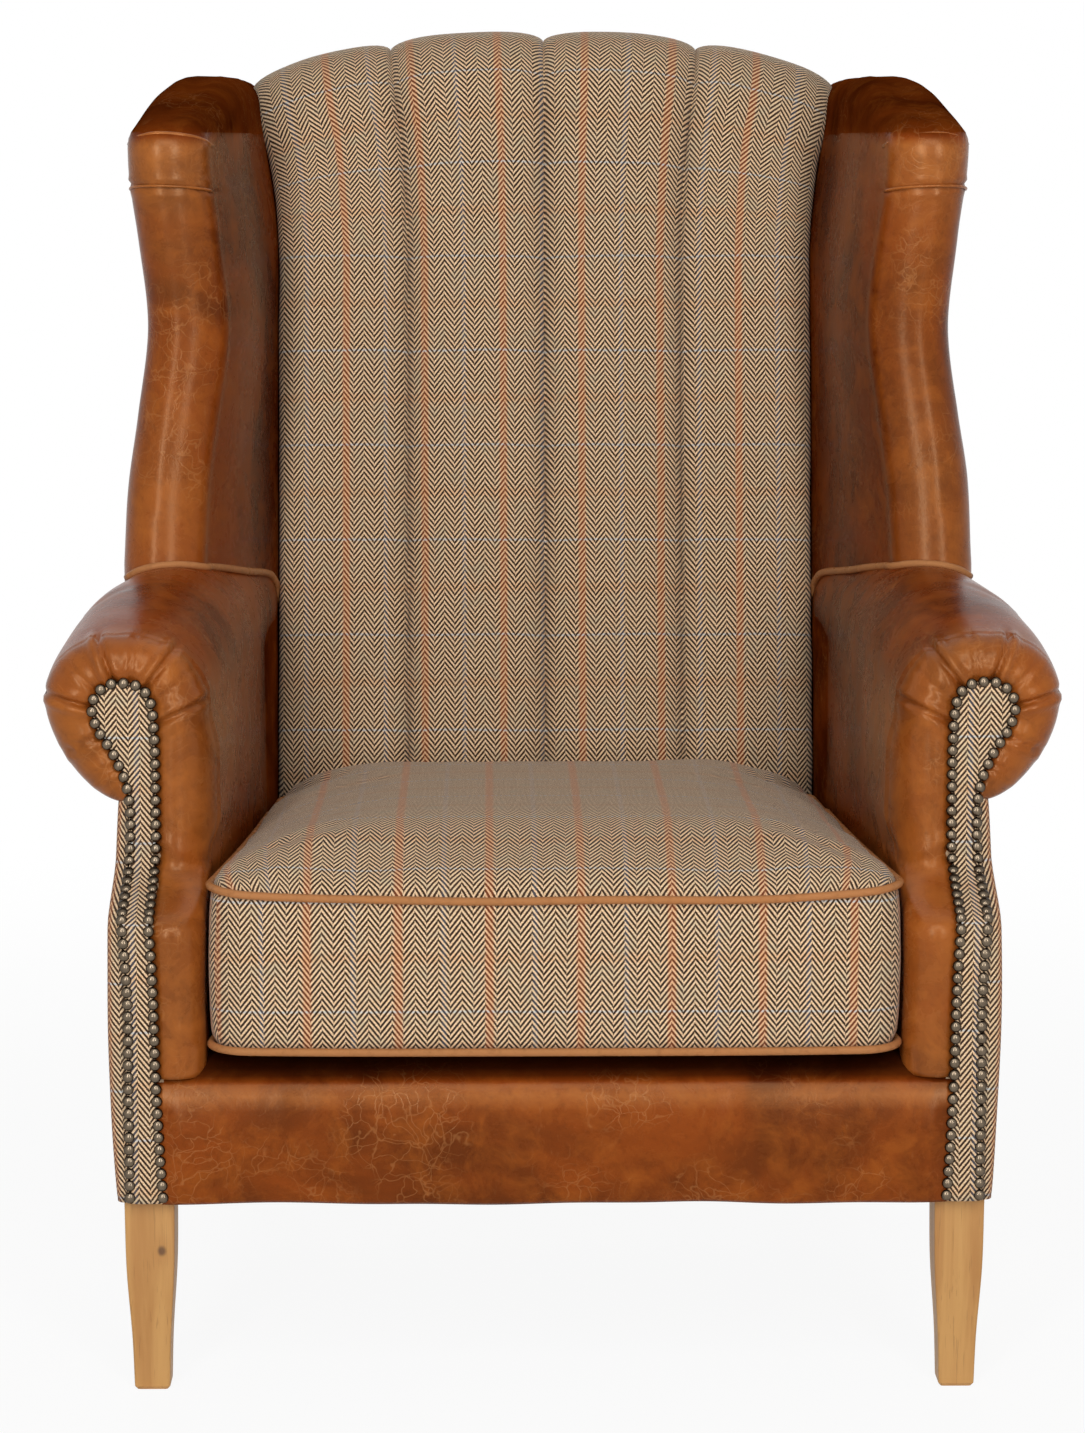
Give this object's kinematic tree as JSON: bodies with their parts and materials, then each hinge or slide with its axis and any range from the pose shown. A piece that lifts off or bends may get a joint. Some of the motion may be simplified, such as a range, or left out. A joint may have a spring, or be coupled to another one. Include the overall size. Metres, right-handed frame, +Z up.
{
  "type": "wing armchair",
  "caption": "Fireside wing armchair: fluted tweed back, leather wings and scroll arms with nailed facings, loose boxed seat cushion with leather piping, tapered oak legs.",
  "frame": {"origin": "middle of the chair's bounding box at floor level", "axes": "+X to the viewer's right seen from the front, the sitter faces -Y, +Z up from the floor"},
  "size_m": [0.834, 0.8036, 1.1206],
  "materials": {
    "leather": "worn cognac aniline leather, lighter on the edges",
    "tweed": "brown and beige herringbone wool tweed with rust and pale blue overcheck lines",
    "oak": "pale oak, satin lacquer",
    "beech": "raw beech frame, hidden",
    "foam": "foam and wadding, hidden",
    "jute": "woven jute webbing, hidden",
    "lining": "black lining cloth",
    "steel": "drawn spring wire, hidden",
    "brass": "antique brass, dark in the hollows"
  },
  "bodies": {
    "chair": {"seat_rail_right": "beech", "seat_rail_left": "beech", "front_post_right": "beech", "front_post_left": "beech", "back_post_right": "beech", "back_post_left": "beech", "arm_board_right": "beech", "arm_board_left": "beech", "front_corner_block_right": "beech", "front_corner_block_left": "beech", "rear_corner_block_right": "beech", "rear_corner_block_left": "beech", "front_leg_right": "oak", "front_leg_left": "oak", "rear_leg_right": "oak", "rear_leg_left": "oak", "wing_board_right": "beech", "wing_board_left": "beech", "arm_cover_right": "leather", "arm_cover_left": "leather", "outside_arm_right": "tweed", "outside_arm_left": "tweed", "arm_padding_right": "foam", "arm_padding_left": "foam", "wing_cover_right": "leather", "wing_cover_left": "leather", "outside_wing_right": "tweed", "outside_wing_left": "tweed", "wing_padding_right": "foam", "wing_padding_left": "foam", "arm_facing_right": "tweed", "arm_facing_left": "tweed", "nail_row_right": "brass", "nail_row_left": "brass", "arm_wing_piping_right": "leather", "arm_wing_piping_left": "leather", "front_seat_rail": "beech", "back_seat_rail": "beech", "top_back_rail": "beech", "lumbar_rail": "beech", "outside_back": "tweed", "fluted_back": "tweed", "back_padding": "foam", "back_webbing": "jute", "seat_deck": "lining", "bottom_cloth": "lining", "front_border": "leather", "seat_spring_1": "steel", "seat_spring_2": "steel", "seat_spring_3": "steel", "seat_spring_4": "steel", "seat_spring_5": "steel"},
    "seat_cushion": {"cushion_cover": "tweed", "cushion_core": "foam", "cushion_piping_top": "leather", "cushion_piping_bottom": "leather", "cushion_zip_tape": "lining"},
    "zip_slider": {"cushion_zip_slider": "brass"}
  },
  "joints": [
    {"name": "cushion_lift", "type": "slide", "parent": "chair", "child": "seat_cushion", "axis": [0, 0, 1], "range_m": [0, 0.3]},
    {"name": "zip_slide", "type": "slide", "parent": "seat_cushion", "child": "zip_slider", "axis": [1, 0, 0], "range_m": [0, 0.43]}
  ]
}
